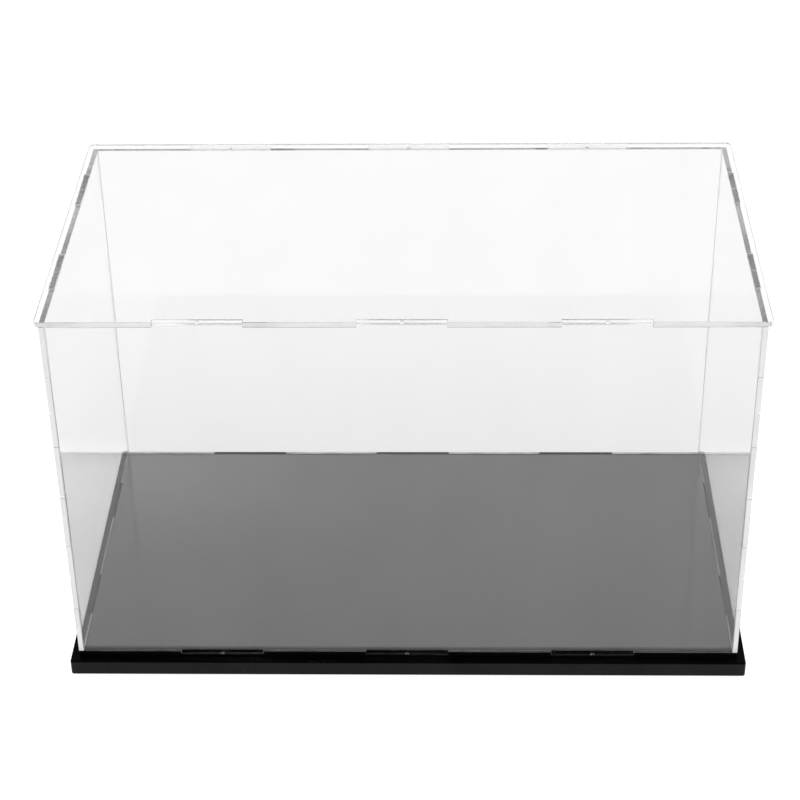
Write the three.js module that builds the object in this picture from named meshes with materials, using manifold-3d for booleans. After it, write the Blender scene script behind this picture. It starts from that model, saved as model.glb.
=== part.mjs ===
// Football display case: a clear box of finger-jointed acrylic sheets on a black base.
// Millimetres, +Z up, the front faces -Y. The origin is the centre of the plinth's underside.
import * as THREE from 'three';
import { mergeVertices } from 'three/addons/utils/BufferGeometryUtils.js';
import Module from 'manifold-3d';

const wasm = await Module();
wasm.setup();

// Driving dimensions
const SHEET = 3; // thickness of every cut sheet
const FIT_GAP = 0.2; // clearance left between neighbouring sheets
const CASE_WIDTH = 400; // outer face to outer face of the side panels
const CASE_DEPTH = 215; // outer face to outer face of the front and back panels
const INSIDE_HEIGHT = 231; // floor panel's top to the lid's underside
const PLINTH_HEIGHT = 10;
const PLINTH_SIDE_LIP = 5; // how far the plinth stands out past each side panel
const PLINTH_FRONT_LIP = 6; // how far it stands out past the front and back panels
const PLINTH_CORNER = 1.5;
const LID_SIDE_LIP = 3; // how far the lid stands out past each side panel
const LID_BACK_LIP = 4; // how far it stands out past the back panel
const LID_CORNER = 3;

// Fingers: centres are measured from the middle of the edge that carries them
const WIDE_TABS = { width: 50, centres: [-112.5, 0, 112.5] };
const DEEP_TABS = { width: 39, centres: [-50.5, 50.5] };
const TALL_TABS = { width: 47, centres: [-59, 59] };
const NICK_RADIUS = 0.9; // half-round lead-in mark of the cutter, in the middle of a finger's tip
const NICK_STEPS = 6;
const CORNER_STEPS = 6;

// Heights and half sizes that follow from them
const FLOOR_UNDERSIDE = PLINTH_HEIGHT + FIT_GAP;
const FLOOR_TOP = FLOOR_UNDERSIDE + SHEET;
const LID_UNDERSIDE = FLOOR_TOP + INSIDE_HEIGHT;
const HALF_WIDTH = CASE_WIDTH / 2;
const HALF_DEPTH = CASE_DEPTH / 2;
const HALF_WALL = INSIDE_HEIGHT / 2 - FIT_GAP;

const clearAcrylic = new THREE.MeshStandardMaterial({
  color: 0xeef3f3,
  roughness: 0.04,
  metalness: 0,
  transparent: true,
  opacity: 0.2,
});
const glossBlack = new THREE.MeshStandardMaterial({ color: 0x0b0b0c, roughness: 0.08, metalness: 0 });
const satinBlack = new THREE.MeshStandardMaterial({ color: 0x1b1c1c, roughness: 0.35, metalness: 0 });

const point = (x, y) => new THREE.Vector2(x, y);

// A half circle bitten into an edge, from one side of the bite to the other.
function nick(at, middle, level) {
  const points = [];
  for (let i = 0; i <= NICK_STEPS; i += 1) {
    const angle = (Math.PI * i) / NICK_STEPS;
    points.push(at(middle - NICK_RADIUS * Math.cos(angle), level - NICK_RADIUS * Math.sin(angle)));
  }
  return points;
}

// One edge of a sheet, with the sheet on its left: fingers stand out of it by rise, or are
// notches cut into it where rise is negative. Notches are wider than fingers by the fit gap.
function fingeredEdge(start, end, tabs, rise, options = {}) {
  const length = start.distanceTo(end);
  const along = end.clone().sub(start).normalize();
  const outward = point(along.y, -along.x);
  const at = (distance, out) =>
    start.clone().addScaledVector(along, distance).addScaledVector(outward, out);
  const width = tabs.width + (rise < 0 ? 2 * FIT_GAP : 0);
  const points = [start.clone()];
  let land = null;
  for (const centre of tabs.centres) {
    const middle = length / 2 + centre;
    if (options.nickLands && land !== null) {
      points.push(...nick(at, (land + middle) / 2, 0));
    }
    points.push(at(middle - width / 2, 0), at(middle - width / 2, rise));
    if (rise > 0) {
      points.push(...nick(at, middle, rise));
    }
    points.push(at(middle + width / 2, rise), at(middle + width / 2, 0));
    land = middle;
  }
  return points;
}

// A quarter circle, counter-clockwise from the given angle.
function roundCorner(centre, radius, fromAngle) {
  const points = [];
  for (let i = 0; i <= CORNER_STEPS; i += 1) {
    const angle = fromAngle + (Math.PI / 2) * (i / CORNER_STEPS);
    points.push(centre.clone().add(point(radius * Math.cos(angle), radius * Math.sin(angle))));
  }
  return points;
}

function cutSheet(outline, thickness) {
  const shape = new THREE.Shape(outline);
  return new THREE.ExtrudeGeometry(shape, { depth: thickness, bevelEnabled: false });
}

function solidFrom(geometry) {
  const bare = geometry.clone();
  bare.deleteAttribute('normal');
  bare.deleteAttribute('uv');
  const merged = mergeVertices(bare);
  const vertProperties = Float32Array.from(merged.attributes.position.array);
  const triVerts = Uint32Array.from(merged.index.array);
  return new wasm.Manifold(new wasm.Mesh({ numProp: 3, vertProperties, triVerts }));
}

function geometryFrom(solid) {
  const mesh = solid.getMesh();
  const geometry = new THREE.BufferGeometry();
  geometry.setAttribute('position', new THREE.BufferAttribute(mesh.vertProperties, 3));
  geometry.setIndex(new THREE.BufferAttribute(mesh.triVerts, 1));
  return geometry.toNonIndexed();
}

// Straight slots, cut right through a sheet that lies on the XY plane.
function cutSlots(sheet, slots) {
  let solid = solidFrom(sheet);
  for (const slot of slots) {
    const cutter = new THREE.BoxGeometry(slot.width, slot.depth, 3 * SHEET);
    cutter.translate(slot.x, slot.y, SHEET / 2);
    solid = solid.subtract(solidFrom(cutter));
  }
  const geometry = geometryFrom(solid);
  geometry.computeVertexNormals();
  return geometry;
}

// Four fingered edges, counter-clockwise from the lower left corner.
function fingeredSheet(halfX, halfY, across, up) {
  const a = point(-halfX, -halfY);
  const b = point(halfX, -halfY);
  const c = point(halfX, halfY);
  const d = point(-halfX, halfY);
  return [
    ...fingeredEdge(a, b, across.tabs, across.rise, across),
    ...fingeredEdge(b, c, up.tabs, up.rise, up),
    ...fingeredEdge(c, d, across.tabs, across.rise, across),
    ...fingeredEdge(d, a, up.tabs, up.rise, up),
  ];
}

// Front and back: fingers on all four edges, into floor, lid and side panels.
function wideWall() {
  const across = { tabs: WIDE_TABS, rise: SHEET - FIT_GAP };
  const up = { tabs: TALL_TABS, rise: SHEET + FIT_GAP };
  return cutSheet(fingeredSheet(HALF_WIDTH - SHEET - FIT_GAP, HALF_WALL, across, up), SHEET);
}

// Sides: fingers into floor and lid, and notches that the front and back panels' fingers fill.
function deepWall() {
  const across = { tabs: DEEP_TABS, rise: SHEET - FIT_GAP };
  const up = { tabs: TALL_TABS, rise: -SHEET - FIT_GAP, nickLands: true };
  return cutSheet(fingeredSheet(HALF_DEPTH, HALF_WALL, across, up), SHEET);
}

// Floor: open notches on all four edges, where the walls' lower fingers drop in.
function floorSheet() {
  const across = { tabs: WIDE_TABS, rise: -SHEET - FIT_GAP };
  const up = { tabs: DEEP_TABS, rise: -SHEET - FIT_GAP };
  return cutSheet(fingeredSheet(HALF_WIDTH, HALF_DEPTH, across, up), SHEET);
}

// Lid: flush and open-notched in front, standing out with closed slots at the sides and back.
function lidSheet() {
  const halfWidth = HALF_WIDTH + LID_SIDE_LIP;
  const arcX = halfWidth - LID_CORNER;
  const front = -HALF_DEPTH;
  const back = HALF_DEPTH + LID_BACK_LIP;
  const outline = [
    ...fingeredEdge(point(-arcX, front), point(arcX, front), WIDE_TABS, -SHEET - FIT_GAP),
    ...roundCorner(point(arcX, front + LID_CORNER), LID_CORNER, -Math.PI / 2),
    ...roundCorner(point(arcX, back - LID_CORNER), LID_CORNER, 0),
    ...roundCorner(point(-arcX, back - LID_CORNER), LID_CORNER, Math.PI / 2),
    ...roundCorner(point(-arcX, front + LID_CORNER), LID_CORNER, Math.PI),
  ];
  outline.pop(); // the last arc ends where the front edge starts
  const across = SHEET + 2 * FIT_GAP;
  const slots = [];
  for (const x of WIDE_TABS.centres) {
    slots.push({ x, y: HALF_DEPTH - SHEET / 2, width: WIDE_TABS.width + 2 * FIT_GAP, depth: across });
  }
  for (const side of [-1, 1]) {
    for (const y of DEEP_TABS.centres) {
      const x = side * (HALF_WIDTH - SHEET / 2);
      slots.push({ x, y, width: across, depth: DEEP_TABS.width + 2 * FIT_GAP });
    }
  }
  return cutSlots(cutSheet(outline, SHEET), slots);
}

// Plinth: a plain black slab, a little larger than the case.
function plinthSlab() {
  const arcX = HALF_WIDTH + PLINTH_SIDE_LIP - PLINTH_CORNER;
  const arcY = HALF_DEPTH + PLINTH_FRONT_LIP - PLINTH_CORNER;
  const outline = [
    ...roundCorner(point(arcX, -arcY), PLINTH_CORNER, -Math.PI / 2),
    ...roundCorner(point(arcX, arcY), PLINTH_CORNER, 0),
    ...roundCorner(point(-arcX, arcY), PLINTH_CORNER, Math.PI / 2),
    ...roundCorner(point(-arcX, -arcY), PLINTH_CORNER, Math.PI),
  ];
  return cutSheet(outline, PLINTH_HEIGHT);
}

function piece(name, geometry, material) {
  const mesh = new THREE.Mesh(geometry, material);
  mesh.name = name;
  return mesh;
}

// Base: the black floor panel bonded on the plinth
const base = new THREE.Group();
base.add(piece('base_plinth', plinthSlab(), satinBlack));
const floorPanel = piece('floor_panel', floorSheet(), glossBlack);
floorPanel.position.z = FLOOR_UNDERSIDE;
base.add(floorPanel);

// Cover: the four clear walls, which lift off the base together
const cover = new THREE.Group();
const wallMiddle = FLOOR_TOP + INSIDE_HEIGHT / 2;
for (const [name, outerFace] of [['front_panel', -HALF_DEPTH + SHEET], ['back_panel', HALF_DEPTH]]) {
  const panel = piece(name, wideWall(), clearAcrylic);
  panel.rotation.x = Math.PI / 2;
  panel.position.set(0, outerFace, wallMiddle);
  cover.add(panel);
}
for (const [name, innerFace] of [['left_panel', -HALF_WIDTH], ['right_panel', HALF_WIDTH - SHEET]]) {
  const panel = piece(name, deepWall(), clearAcrylic);
  panel.rotation.set(Math.PI / 2, Math.PI / 2, 0);
  panel.position.set(innerFace, 0, wallMiddle);
  cover.add(panel);
}

// Lid: a clear sheet that drops over the walls' upper fingers
const lidPanel = piece('lid_panel', lidSheet(), clearAcrylic);
lidPanel.position.z = LID_UNDERSIDE;

const group = new THREE.Group();
group.add(base, cover, lidPanel);
export default group;
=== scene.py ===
import math

import bmesh
import bpy
from mathutils import Matrix, Vector


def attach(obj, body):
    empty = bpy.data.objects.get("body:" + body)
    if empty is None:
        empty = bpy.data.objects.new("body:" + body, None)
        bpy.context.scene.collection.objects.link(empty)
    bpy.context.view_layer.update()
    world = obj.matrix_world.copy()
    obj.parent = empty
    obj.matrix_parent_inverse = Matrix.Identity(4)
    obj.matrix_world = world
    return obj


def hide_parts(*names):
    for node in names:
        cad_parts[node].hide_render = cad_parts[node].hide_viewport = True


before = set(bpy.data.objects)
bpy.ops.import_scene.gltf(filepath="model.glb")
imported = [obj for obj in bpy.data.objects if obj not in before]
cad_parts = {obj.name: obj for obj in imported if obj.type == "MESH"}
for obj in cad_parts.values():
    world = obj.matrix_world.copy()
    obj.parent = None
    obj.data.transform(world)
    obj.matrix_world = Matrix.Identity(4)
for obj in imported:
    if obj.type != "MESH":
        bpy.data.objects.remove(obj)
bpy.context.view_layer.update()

# Camera, measured from the origin in metres, and how it is turned
CAMERA_AT = Vector((0.0283, -1.0948, 0.8448))
CAMERA_PITCH = math.radians(33.28)  # looking down
CAMERA_YAW = math.radians(-1.737)  # looking a little to the left of +Y
CAMERA_ROLL = math.radians(-0.949)
CAMERA_LENS = 94.96
CAMERA_SENSOR = 36.0

# Sheets
EDGE_RADIUS = 0.00016  # the slight round of a cut edge
EDGE_STEPS = 2
PLINTH_RADIUS = 0.0007  # the same on the plinth
SHARP_ANGLE = math.radians(40)  # edges that turn by more than this are rounded
FLAT_ANGLE = math.radians(1)  # faces that meet at less than this are joined into one
SAME_POINT = 1e-6  # points closer than this are joined
FOOT_HEIGHT = 0.012  # the clear sheets' feet are under this, and their other lowest cut edges above it
SEAT_HEIGHT = 0.0145  # those other lowest cut edges, the seats, are under this
LID_HEIGHT = 0.2442  # the lid's underside
TAB_HEIGHT = 0.2465  # above this are only the tops of the tabs and of the lid
TAB_END = (4e-6, 2e-5)  # the end face of a tab or of a slot, in square metres
WALL_INSIDE = 0.197  # the side walls' inner planes
OUTER_LAYER = 0.106  # cut edges that face forward or back beyond this have no tab before them
FRONT_JOINT_SHADE = (-0.1018, -0.1032)  # where the painted shade along the front joint starts to darken the floor, and where it is full, along Y
LEANS = 0.1  # a normal's part along an axis, from which a face counts as turned that way at all
FACES = 0.5  # from which it mostly faces that way
FACES_DOWN = 0.9  # from which it looks straight down

# Finishes
ACRYLIC_IOR = 1.49
MIX_FIRST = 6  # the colour sockets of a Mix node
MIX_SECOND = 7
MIX_RESULT = 2
SPECK_EDGE = (0.09, 0.05)  # a speck's rim and its full part, as shares of the speckle size
EDGE_BLUE = 0.035  # how much bluer than grey a cut edge is
EDGE_ROUGHNESS = 0.25  # roughness of a cut edge
GRAIN_SCALE = 2500.0
GRAIN_RELIEF = 0.0001

# Stage: pairs are where a change along an axis starts and ends, in metres
STAGE_HALF = 40.0
STAGE_GLOW = 0.92
BESIDE_GLOW = 0.37  # added beside the case
BESIDE_SIDE = (0.2, 0.206)
BESIDE_BACK = (0.1, 0.15)
BESIDE_FRONT = (-0.25, -0.1)
BESIDE_ACROSS = (-0.2, 0.2)
BESIDE_LEFT_RIGHT = (1.08, 0.87)  # its shares at the left and at the right
BESIDE_NEAR = (0.0, 0.09)
BESIDE_NEAR_SHARE = 0.6  # its share in the nearer half
BEHIND_GLOW = -0.06  # added behind the case
BEHIND_SIDE = (0.235, 0.26)
BEHIND_START = (0.1, 0.13)
BEHIND_END = (0.13, 0.3)

# Light: pairs are where a change starts and ends along an axis of the view direction
ROOM_BACK = (-0.6, 0.3)
ROOM_GLOW = (0.85, 1.08)  # in front and behind
BAND_START = (0.515, 0.56)
BAND_END = (0.58, 0.68)
BAND_GLOW = (1.07, 0.4)  # the band's glow low down and above it
BAND_BACK = (0.2, 0.6)
LEFT_TOP = (0.575, 0.6)
LEFT_SIDE = (-0.17, -0.03)

BOUNCES = 64  # light crosses many thin sheets


# Materials

class Nodes:
    """A material's node tree, with one call to add a node and set its inputs."""

    def __init__(self, name):
        self.material = bpy.data.materials.new(name)
        self.material.use_nodes = True
        self.tree = self.material.node_tree
        self.shader = self.tree.nodes["Principled BSDF"]

    def add(self, kind, inputs=(), **settings):
        node = self.tree.nodes.new("ShaderNode" + kind)
        for key, value in settings.items():
            setattr(node, key, value)
        for key, value in dict(inputs).items():
            self.set(node, key, value)
        return node

    def set(self, node, key, value):
        if isinstance(value, bpy.types.NodeSocket):
            self.tree.links.new(value, node.inputs[key])
        else:
            node.inputs[key].default_value = value

    def shade(self, **inputs):
        for key, value in inputs.items():
            self.set(self.shader, key.replace("_", " "), value)


def speckle(n, size, share, place):
    """Small round specks, 1 on a speck and 0 between them."""
    rim, full = SPECK_EDGE
    cells = n.add("TexVoronoi", {"Vector": place, "Scale": 1 / size})
    near = n.add("MapRange", {"Value": cells.outputs["Distance"], "From Min": rim, "From Max": full})
    pick = n.add("SeparateColor", {0: cells.outputs["Color"]}).outputs["Red"]
    chosen = n.add("Math", {0: pick, 1: share}, operation="LESS_THAN").outputs[0]
    return n.add("Math", {0: near.outputs["Result"], 1: chosen}, operation="MULTIPLY").outputs[0]


def cloud(n, size, low, high, place, detail=3.0, stretch=(1, 1, 1)):
    """Soft patches of a size in metres, from low to high."""
    spread = n.add("Mapping", {"Vector": place, "Scale": stretch}).outputs[0]
    noise = n.add("TexNoise", {"Vector": spread, "Scale": 1 / size, "Detail": detail})
    values = {"Value": noise.outputs["Fac"], "From Min": 0.3, "From Max": 0.7, "To Min": low, "To Max": high}
    return n.add("MapRange", values).outputs["Result"]


def blend(n, amount, first, second):
    """A colour from first, where the amount is 0, to second, where it is 1."""
    mix = n.add("Mix", data_type="RGBA")
    n.set(mix, "Factor", amount)
    n.set(mix, MIX_FIRST, first)
    n.set(mix, MIX_SECOND, second)
    return mix.outputs[MIX_RESULT]


def grey(level, blue=0.0):
    return (level, level * (1 + blue / 2), level * (1 + blue), 1)


def clear_face():
    """Polished face of a clear acrylic sheet, with faint wipe marks and a little dust."""
    n = Nodes("clear_acrylic")
    place = n.add("TexCoord").outputs["Object"]
    wipes = cloud(n, 0.05, 0.0, 1.0, place, stretch=(1.0, 1.0, 0.45))
    dust = speckle(n, 0.011, 0.05, place)
    film = blend(n, wipes, grey(0.945), grey(0.93))
    n.shade(
        Base_Color=blend(n, dust, film, grey(0.8)),
        Roughness=0.0,
        IOR=ACRYLIC_IOR,
        Transmission_Weight=1.0,
    )
    return n.material


def cut_edge(name, clearness, low, high, blue=EDGE_BLUE, roughness=EDGE_ROUGHNESS):
    """Cut edge of a clear sheet: fine ripples, and longer darker and lighter stretches.

    The clearness is the share that refracts, and the rest is opaque.
    """
    n = Nodes(name)
    place = n.add("TexCoord").outputs["Object"]
    stretches = cloud(n, 0.02, 0.0, 1.0, place, detail=4.0)
    ripples = cloud(n, 0.0007, 0.0, 0.35, place, detail=1.0)
    both = n.add("Math", {0: stretches, 1: ripples}, operation="ADD", use_clamp=True).outputs[0]
    n.shade(
        Base_Color=blend(n, both, grey(low, blue), grey(high, blue)),
        Roughness=roughness,
        IOR=ACRYLIC_IOR,
        Transmission_Weight=clearness,
    )
    return n.material


def seated_edge(name, level):
    """Cut edge that meets the black base, from black at level 0 to a pale painted highlight near level 1,
    brighter and dimmer in patches.
    """
    n = Nodes(name)
    place = n.add("TexCoord").outputs["Object"]
    n.shade(
        Base_Color=blend(n, cloud(n, 0.012, 0.0, 1.0, place), grey(level * 0.6), grey(level * 1.4)),
        Roughness=0.3,
        IOR=ACRYLIC_IOR,
        Specular_IOR_Level=0.1,
    )
    return n.material


def gloss_black():
    """Black acrylic sheet: polished, with cloudy wipe marks, a few specks and fine straight scratches.

    A dark, dull line of painted shade runs along its front joint: its colour and its shine drop there.
    """
    n = Nodes("floor_black")
    place = n.add("TexCoord").outputs["Object"]
    wipes = cloud(n, 0.06, 0.0, 1.0, place, detail=4.0, stretch=(1.0, 0.5, 1.0))
    scratches = cloud(n, 0.01, 0.0, 1.0, place, detail=1.0, stretch=(0.05, 1.5, 1.0))
    film = blend(n, wipes, grey(0.026), grey(0.044))
    dust = speckle(n, 0.006, 0.06, place)
    marks = n.add("Math", {0: wipes, 1: scratches}, operation="MULTIPLY").outputs[0]
    gloss = n.add("MapRange", {"Value": marks, "To Min": 0.03, "To Max": 0.13}).outputs["Result"]
    back = n.add("SeparateXYZ", {0: place}).outputs["Y"]
    # Painted shade along the front joint: darker colour and less shine near the front panel.
    start, end = FRONT_JOINT_SHADE
    joint_shade = n.add("MapRange", {"Value": back, "From Min": start, "From Max": end}).outputs["Result"]
    shine = n.add("MapRange", {"Value": joint_shade, "To Min": 0.5, "To Max": 0.03}).outputs["Result"]
    n.shade(
        Base_Color=blend(n, joint_shade, blend(n, dust, film, grey(0.12)), grey(0.003)),
        Roughness=gloss,
        IOR=ACRYLIC_IOR,
        Specular_IOR_Level=shine,
    )
    return n.material


def satin_black(name, low, high, shine):
    """Black plinth: satin, with a fine grain, slightly duller patches and a little dust."""
    n = Nodes(name)
    place = n.add("TexCoord").outputs["Object"]
    patches = cloud(n, 0.03, 0.0, 1.0, place, detail=5.0)
    grain = n.add("TexNoise", {"Vector": place, "Scale": GRAIN_SCALE, "Detail": 1.0}).outputs["Fac"]
    relief = n.add("Bump", {"Height": grain, "Strength": 0.15, "Distance": GRAIN_RELIEF})
    gloss = n.add("MapRange", {"Value": patches, "To Min": 0.24, "To Max": 0.34}).outputs["Result"]
    dust = speckle(n, 0.005, 0.05, place)
    film = blend(n, patches, grey(low, 0.1), grey(high, 0.1))
    n.shade(
        Base_Color=blend(n, dust, film, grey(high * 5)),
        Roughness=gloss,
        IOR=ACRYLIC_IOR,
        Specular_IOR_Level=shine,
        Normal=relief.outputs["Normal"],
    )
    return n.material


# Pieces

PARTS = (
    "broad",
    "tab_face",
    "arris",
    "front",
    "rear",
    "front_notch",
    "rear_notch",
    "foot",
    "seat",
    "tab_top",
    "tab_end",
    "other",
)


def part_of_sheet(face, thin_axis):
    """Which of PARTS a face of a sheet is.

    A tab_face is the outer face of a tab at an upright corner. An arris is a rounded lower corner
    that faces forward, at the floor sheet's top. The front and rear are the outermost cut edges,
    and the notches are other cut edges that face forward or back. The feet are the lowest ends of
    the tabs, and the seats the lowest edges between them. A tab_end is the front or back end of
    a tab or slot in the lid's layer.
    """
    middle = face.calc_center_median()
    seated = FOOT_HEIGHT < middle.z < SEAT_HEIGHT
    if face.normal.y < -LEANS and face.normal.z < -LEANS and seated:
        return "arris"
    if abs(face.normal[thin_axis]) > LEANS:
        outward = face.normal.y * middle.y > 0.9 * OUTER_LAYER
        return "tab_face" if thin_axis == 1 and outward and abs(middle.x) > WALL_INSIDE else "broad"
    if abs(face.normal.y) > FACES and middle.y * face.normal.y > OUTER_LAYER:
        return "front" if middle.y < 0 else "rear"
    if middle.z > LID_HEIGHT:
        if abs(face.normal.y) > FACES and TAB_END[0] < face.calc_area() < TAB_END[1]:
            return "tab_end"
        return "tab_top" if middle.z > TAB_HEIGHT else "other"
    if abs(face.normal.y) > FACES:
        return "front_notch" if face.normal.y < 0 else "rear_notch"
    if face.normal.z < -FACES_DOWN and middle.z < FOOT_HEIGHT:
        return "foot"
    if face.normal.z < -FACES_DOWN and seated:
        return "seat"
    return "other"


def sheet_piece(node, body, thin_axis, finishes_and_painted_light, radius=EDGE_RADIUS):
    """A cut sheet with the CAD node's outline, and with its sharp edges rounded.

    The materials given are for the PARTS by name, and the one named other is for those not given.
    Some of them paint light or shade on their parts. Faces are split at the side walls' inner planes,
    so that tabs can differ from the rest of a sheet.
    """
    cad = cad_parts[node]
    mesh = cad.data.copy()
    mesh.materials.clear()
    for part in PARTS:
        mesh.materials.append(finishes_and_painted_light.get(part, finishes_and_painted_light["other"]))
    piece = bpy.data.objects.new(node + "_sheet", mesh)
    bpy.context.scene.collection.objects.link(piece)
    b = bmesh.new()
    b.from_mesh(mesh)
    bmesh.ops.remove_doubles(b, verts=b.verts, dist=SAME_POINT)
    bmesh.ops.dissolve_limit(b, angle_limit=FLAT_ANGLE, verts=b.verts, edges=b.edges)
    sharp = [e for e in b.edges if e.calc_face_angle(0) > SHARP_ANGLE]
    bmesh.ops.bevel(
        b,
        geom=sharp,
        offset=radius,
        offset_type="OFFSET",
        segments=EDGE_STEPS,
        profile=0.5,
        affect="EDGES",
        clamp_overlap=True,
    )
    for side in (-WALL_INSIDE, WALL_INSIDE):
        whole = b.verts[:] + b.edges[:] + b.faces[:]
        bmesh.ops.bisect_plane(b, geom=whole, plane_co=(side, 0, 0), plane_no=(1, 0, 0))
    b.normal_update()
    for f in b.faces:
        f.material_index = PARTS.index(part_of_sheet(f, thin_axis))
        f.smooth = False
    b.to_mesh(mesh)
    b.free()
    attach(piece, body)
    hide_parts(node)
    return piece


def build_case():
    # The cut edges are all cut the same way. Their materials differ by where an edge is and which way it
    # faces, to paint how the light falls on it. The front panel's edges, the upright corner edges, the lid's
    # front edge and the tops of the front and back tabs are pale and mostly opaque, which is painted light.
    # The back panel's edges and the notches that face back stay glass-clear.
    broad = clear_face()
    hazy = cut_edge("clear_cut_edge", 0.2, 0.7, 0.78)
    pale = cut_edge("pale_cut_edge", 0.05, 0.82, 0.9)
    upright = cut_edge("upright_cut_edge", 0.1, 0.8, 0.88)
    deep = cut_edge("deep_cut_edge", 0.0, 0.94, 0.98)
    half_clear = cut_edge("half_clear_edge", 0.94, 0.86, 0.95)
    clear = cut_edge("clear_dim_bluish_edge", 1.0, 0.4, 0.5, 0.15)
    foot = seated_edge("cemented_foot", 0.004)
    glassy = cut_edge("glassy_cut_edge", 1.0, 0.96, 0.99, roughness=0.02)
    # The arris and the back and side panels' seats are pale: a painted highlight line along their lower
    # edges.
    arris = seated_edge("front_arris_highlight", 0.5)
    front = {
        "broad": broad,
        "tab_face": upright,
        "arris": arris,
        "foot": foot,
        "seat": foot,
        "tab_top": pale,
        "other": deep,
    }
    back = dict(front, seat=seated_edge("back_seat_highlight", 0.8), other=glassy)
    side = {
        "broad": broad,
        "front": upright,
        "rear": upright,
        "front_notch": deep,
        "rear_notch": glassy,
        "foot": foot,
        "seat": seated_edge("side_seat_highlight", 0.7),
        "tab_top": clear,
        "tab_end": deep,
        "other": half_clear,
    }
    lid = {"broad": broad, "front": hazy, "tab_end": deep, "other": half_clear}
    sheet_piece("front_panel", "cover", 1, front)
    sheet_piece("back_panel", "cover", 1, back)
    sheet_piece("left_panel", "cover", 0, side)
    sheet_piece("right_panel", "cover", 0, side)
    sheet_piece("lid_panel", "lid", 2, lid)


def build_base():
    gloss = gloss_black()
    side = satin_black("plinth_black", 0.004, 0.007, 0.12)
    # The top is a darker, duller copy of the plinth's black: painted shade on its top face.
    top = satin_black("plinth_top_shaded_black", 0.0008, 0.002, 0.01)
    sheet_piece("floor_panel", "base", 2, {"other": gloss})
    sheet_piece("base_plinth", "base", 2, {"broad": top, "other": side}, PLINTH_RADIUS)


# Stage

def build_stage():
    """White ground that glows, more beside the case and a little less behind it."""
    half = STAGE_HALF
    mesh = bpy.data.meshes.new("stage_floor")
    corners = [(-half, -half, 0), (half, -half, 0), (half, half, 0), (-half, half, 0)]
    mesh.from_pydata(corners, [], [(0, 1, 2, 3)])
    floor = bpy.data.objects.new("stage_floor", mesh)
    bpy.context.scene.collection.objects.link(floor)
    n = Nodes("stage_white")
    place = n.add("SeparateXYZ", {0: n.add("TexCoord").outputs["Object"]})

    def ramp(socket, start, end, low, high):
        """From low at start to high at end."""
        values = {"Value": socket, "From Min": start, "From Max": end, "To Min": low, "To Max": high}
        return n.add("MapRange", values, interpolation_type="SMOOTHSTEP").outputs["Result"]

    def times(a, b):
        return n.add("Math", {0: a, 1: b}, operation="MULTIPLY").outputs[0]

    aside = n.add("Math", {0: place.outputs["X"]}, operation="ABSOLUTE").outputs[0]
    back = place.outputs["Y"]
    beside = times(ramp(aside, *BESIDE_SIDE, 0.0, BESIDE_GLOW), ramp(back, *BESIDE_BACK, 1.0, 0.0))
    beside = times(beside, ramp(place.outputs["X"], *BESIDE_ACROSS, *BESIDE_LEFT_RIGHT))
    beside = times(beside, ramp(back, *BESIDE_NEAR, BESIDE_NEAR_SHARE, 1.0))
    beside = times(beside, ramp(back, *BESIDE_FRONT, 0.0, 1.0))
    behind = times(ramp(aside, *BEHIND_SIDE, 1.0, 0.0), ramp(back, *BEHIND_START, 0.0, 1.0))
    behind = times(behind, ramp(back, *BEHIND_END, BEHIND_GLOW, 0.0))
    level = n.add("Math", {0: beside, 1: behind}, operation="ADD").outputs[0]
    level = n.add("Math", {0: level, 1: STAGE_GLOW}, operation="ADD").outputs[0]
    n.shade(
        Base_Color=(0.15, 0.15, 0.15, 1),
        Roughness=0.9,
        Specular_IOR_Level=0.0,
        Emission_Color=(1, 1, 1, 1),
        Emission_Strength=level,
    )
    mesh.materials.append(n.material)


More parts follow.
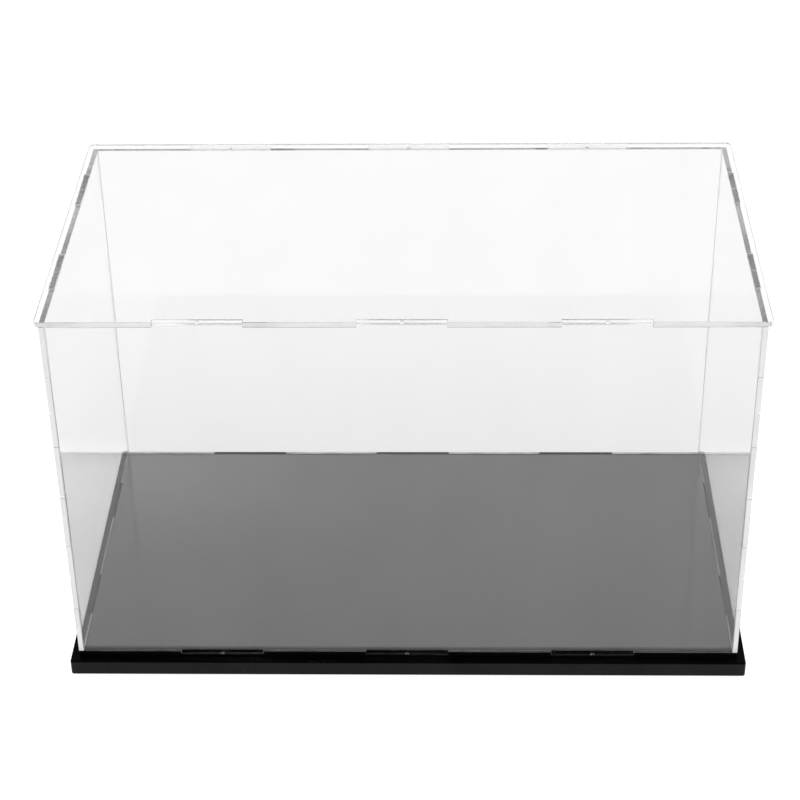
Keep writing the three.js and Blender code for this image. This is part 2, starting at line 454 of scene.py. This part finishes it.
def build_light():
    """A bright room, a little dimmer in front and with a brighter band high up behind."""
    world = bpy.data.worlds.new("studio")
    bpy.context.scene.world = world
    world.use_nodes = True
    tree = world.node_tree
    background = tree.nodes["Background"]
    where = tree.nodes.new("ShaderNodeTexCoord")
    split = tree.nodes.new("ShaderNodeSeparateXYZ")
    tree.links.new(where.outputs["Generated"], split.inputs[0])

    def ramp(socket, start, end, low, high):
        node = tree.nodes.new("ShaderNodeMapRange")
        node.interpolation_type = "SMOOTHSTEP"
        for name, value in zip(("From Min", "From Max", "To Min", "To Max"), (start, end, low, high)):
            node.inputs[name].default_value = value
        tree.links.new(socket, node.inputs["Value"])
        return node.outputs["Result"]

    def combine(operation, a, b):
        node = tree.nodes.new("ShaderNodeMath")
        node.operation = operation
        for socket, value in zip(node.inputs, (a, b)):
            if isinstance(value, float):
                socket.default_value = value
            else:
                tree.links.new(value, socket)
        return node.outputs[0]

    def product(*sockets):
        result = sockets[0]
        for socket in sockets[1:]:
            result = combine("MULTIPLY", result, socket)
        return result

    x, y, z = split.outputs
    level = ramp(y, *ROOM_BACK, *ROOM_GLOW)
    left_glow = product(ramp(z, *LEFT_TOP, 1.0, 0.0), ramp(x, *LEFT_SIDE, 1.0, 0.0))
    back_glow = product(
        ramp(z, *BAND_START, 0.0, 1.0),
        ramp(z, *BAND_END, *BAND_GLOW),
        ramp(y, *BAND_BACK, 0.0, 1.0),
        combine("ADD", left_glow, 1.0),
    )
    tree.links.new(combine("ADD", level, back_glow), background.inputs["Strength"])
    background.inputs["Color"].default_value = (1, 1, 1, 1)
    bpy.context.scene.view_settings.view_transform = "Standard"


def build_camera():
    forward = Vector((
        math.sin(CAMERA_YAW) * math.cos(CAMERA_PITCH),
        math.cos(CAMERA_YAW) * math.cos(CAMERA_PITCH),
        -math.sin(CAMERA_PITCH),
    ))
    right = Vector((math.cos(CAMERA_YAW), -math.sin(CAMERA_YAW), 0))
    up = right.cross(forward)
    turned_right = right * math.cos(CAMERA_ROLL) + up * math.sin(CAMERA_ROLL)
    turned_up = up * math.cos(CAMERA_ROLL) - right * math.sin(CAMERA_ROLL)
    data = bpy.data.cameras.new("camera")
    data.lens = CAMERA_LENS
    data.sensor_width = CAMERA_SENSOR
    camera = bpy.data.objects.new("camera", data)
    bpy.context.scene.collection.objects.link(camera)
    turn = Matrix((turned_right, turned_up, -forward)).transposed()
    camera.matrix_world = Matrix.Translation(CAMERA_AT) @ turn.to_4x4()
    bpy.context.scene.camera = camera


for kind in ("max", "glossy", "transmission"):
    setattr(bpy.context.scene.cycles, kind + "_bounces", BOUNCES)
build_camera()
build_light()
build_stage()
build_base()
build_case()
